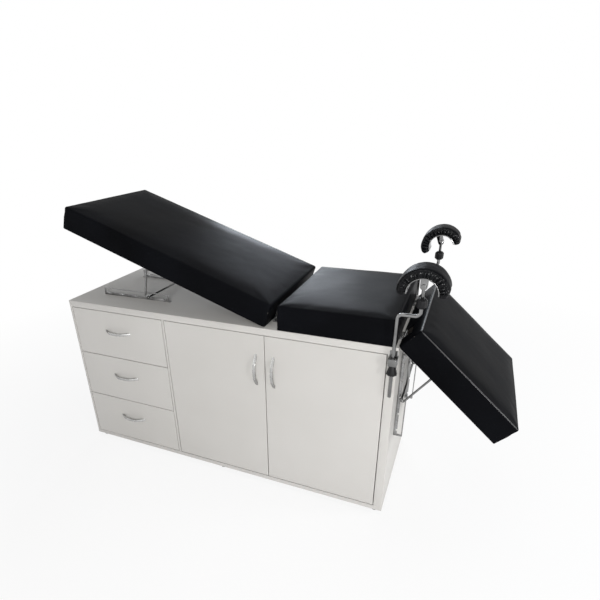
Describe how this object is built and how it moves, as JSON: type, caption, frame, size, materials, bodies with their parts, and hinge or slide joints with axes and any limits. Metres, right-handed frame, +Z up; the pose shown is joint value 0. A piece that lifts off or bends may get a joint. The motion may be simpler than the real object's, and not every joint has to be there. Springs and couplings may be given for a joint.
{
  "type": "gynaecological examination table",
  "caption": "Cabinet examination table with padded seat, tilting back and leg sections on notched props, drawers, doors and clamped knee rests.",
  "frame": {"origin": "on the floor under the middle of the whole table at rest", "axes": "+X towards the foot end, -Y is the front with drawers and doors, +Z up"},
  "size_m": [1.8627, 0.692, 1.166],
  "materials": {
    "laminate": "satin",
    "drawer_board": "satin",
    "vinyl": "satin",
    "timber": "matte",
    "zinc_steel": "satin",
    "bright_rod": "polished",
    "handle_metal": "satin",
    "black_plastic": "satin",
    "foot_plastic": "matte"
  },
  "bodies": {
    "base": {"cabinet_top": "laminate", "cabinet_bottom": "laminate", "head_end_panel": "laminate", "foot_end_panel": "laminate", "back_panel": "laminate", "divider": "laminate", "shelf": "laminate", "levelling_feet": "foot_plastic", "door_pivot_pins": "zinc_steel", "fixed_runners": "zinc_steel", "seat_pad": "vinyl", "seat_frame": "timber", "back_hinge_leaves": "zinc_steel", "leg_hinge_leaves": "zinc_steel", "hinge_pins": "zinc_steel", "top_racks": "zinc_steel", "foot_racks": "zinc_steel", "rack_screws": "zinc_steel", "near_clamp": "bright_rod", "far_clamp": "bright_rod"},
    "back_section": {"back_pad": "vinyl", "back_frame": "timber", "back_fittings": "zinc_steel"},
    "leg_section": {"leg_pad": "vinyl", "leg_frame": "timber", "leg_fittings": "zinc_steel"},
    "back_bar": {"back_prop_bar": "bright_rod"},
    "back_prop": {"back_prop_legs": "bright_rod"},
    "leg_bar": {"leg_prop_bar": "bright_rod"},
    "leg_prop": {"leg_prop_legs": "bright_rod"},
    "left_door": {"left_door": "laminate", "left_door_handle": "handle_metal"},
    "right_door": {"right_door": "laminate", "right_door_handle": "handle_metal"},
    "drawer_1": {"drawer_1_front": "laminate", "drawer_1_box": "drawer_board", "drawer_1_handle": "handle_metal", "drawer_1_runners": "zinc_steel"},
    "drawer_2": {"drawer_2_front": "laminate", "drawer_2_box": "drawer_board", "drawer_2_handle": "handle_metal", "drawer_2_runners": "zinc_steel"},
    "drawer_3": {"drawer_3_front": "laminate", "drawer_3_box": "drawer_board", "drawer_3_handle": "handle_metal", "drawer_3_runners": "zinc_steel"},
    "near_rod": {"near_rest_rod": "bright_rod"},
    "near_clamp_knob": {"near_clamp_knob": "black_plastic"},
    "near_joint_knob": {"near_joint_knob": "black_plastic"},
    "near_stem": {"near_rest_stem": "bright_rod"},
    "near_rest": {"near_rest_frame": "bright_rod", "near_rest_pad": "vinyl"},
    "far_rod": {"far_rest_rod": "bright_rod"},
    "far_clamp_knob": {"far_clamp_knob": "black_plastic"},
    "far_joint_knob": {"far_joint_knob": "black_plastic"},
    "far_stem": {"far_rest_stem": "bright_rod"},
    "far_rest": {"far_rest_frame": "bright_rod", "far_rest_pad": "vinyl"}
  },
  "joints": [
    {"name": "back_tilt", "type": "hinge", "parent": "base", "child": "back_section", "pos_m": [0.05038, 0, 0.755], "axis": [0, 1, 0], "range_deg": [-19.6, 0]},
    {"name": "back_bar_slide", "type": "slide", "parent": "base", "child": "back_bar", "axis": [1, 0, 0], "range_m": [-0.2392, 0]},
    {"name": "back_prop_swing", "type": "hinge", "parent": "back_bar", "child": "back_prop", "pos_m": [-0.56662, 0, 0.7654], "axis": [0, 1, 0], "range_deg": [0, 85.5]},
    {"name": "leg_tilt", "type": "hinge", "parent": "base", "child": "leg_section", "pos_m": [0.53638, 0, 0.7545], "axis": [0, 1, 0], "range_deg": [-42.2, 36]},
    {"name": "leg_bar_slide", "type": "slide", "parent": "base", "child": "leg_bar", "axis": [0, 0, 1], "range_m": [-0.1405, 0.1647]},
    {"name": "leg_prop_swing", "type": "hinge", "parent": "leg_bar", "child": "leg_prop", "pos_m": [0.54778, 0, 0.484], "axis": [0, 1, 0], "range_deg": [-18.1, 21.2]},
    {"name": "drawer_1_slide", "type": "slide", "parent": "base", "child": "drawer_1", "axis": [0, -1, 0], "range_m": [0, 0.36]},
    {"name": "drawer_2_slide", "type": "slide", "parent": "base", "child": "drawer_2", "axis": [0, -1, 0], "range_m": [0, 0.36]},
    {"name": "drawer_3_slide", "type": "slide", "parent": "base", "child": "drawer_3", "axis": [0, -1, 0], "range_m": [0, 0.36]},
    {"name": "left_door_swing", "type": "hinge", "parent": "base", "child": "left_door", "pos_m": [-0.40962, -0.269, 0.38], "axis": [0, 0, -1], "range_deg": [0, 90]},
    {"name": "right_door_swing", "type": "hinge", "parent": "base", "child": "right_door", "pos_m": [0.48838, -0.269, 0.38], "axis": [0, 0, 1], "range_deg": [0, 90]},
    {"name": "near_rod_height", "type": "slide", "parent": "base", "child": "near_rod", "axis": [0, 0, 1], "range_m": [-0.02, 0.1]},
    {"name": "near_clamp_knob_turn", "type": "hinge", "parent": "base", "child": "near_clamp_knob", "pos_m": [0.51838, -0.296, 0.674], "axis": [0, 0, 1], "range_deg": [-180, 180]},
    {"name": "near_joint_knob_turn", "type": "hinge", "parent": "near_rod", "child": "near_joint_knob", "pos_m": [0.58638, -0.296, 0.921], "axis": [0, 0, 1], "range_deg": [-180, 180]},
    {"name": "near_rest_swivel", "type": "hinge", "parent": "near_rod", "child": "near_stem", "pos_m": [0.58638, -0.296, 0.948], "axis": [0, 0, 1], "range_deg": [-90, 90]},
    {"name": "near_rest_tilt", "type": "hinge", "parent": "near_stem", "child": "near_rest", "pos_m": [0.58638, -0.296, 0.976], "axis": [0, 1, 0], "range_deg": [-40, 40]},
    {"name": "far_rod_height", "type": "slide", "parent": "base", "child": "far_rod", "axis": [0, 0, 1], "range_m": [-0.02, 0.1]},
    {"name": "far_clamp_knob_turn", "type": "hinge", "parent": "base", "child": "far_clamp_knob", "pos_m": [0.51838, 0.296, 0.674], "axis": [0, 0, 1], "range_deg": [-180, 180]},
    {"name": "far_joint_knob_turn", "type": "hinge", "parent": "far_rod", "child": "far_joint_knob", "pos_m": [0.58638, 0.296, 0.921], "axis": [0, 0, 1], "range_deg": [-180, 180]},
    {"name": "far_rest_swivel", "type": "hinge", "parent": "far_rod", "child": "far_stem", "pos_m": [0.58638, 0.296, 0.948], "axis": [0, 0, 1], "range_deg": [-90, 90]},
    {"name": "far_rest_tilt", "type": "hinge", "parent": "far_stem", "child": "far_rest", "pos_m": [0.58638, 0.296, 0.976], "axis": [0, 1, 0], "range_deg": [-20, 60]}
  ],
  "couplings": [
    {"joint": "back_bar_slide", "follows": "back_tilt", "m_per_rad": 0.69901},
    {"joint": "back_prop_swing", "follows": "back_tilt", "ratio": -4.36},
    {"joint": "leg_bar_slide", "follows": "leg_tilt", "m_per_rad": -0.22345},
    {"joint": "leg_prop_swing", "follows": "leg_tilt", "ratio": -0.5}
  ]
}
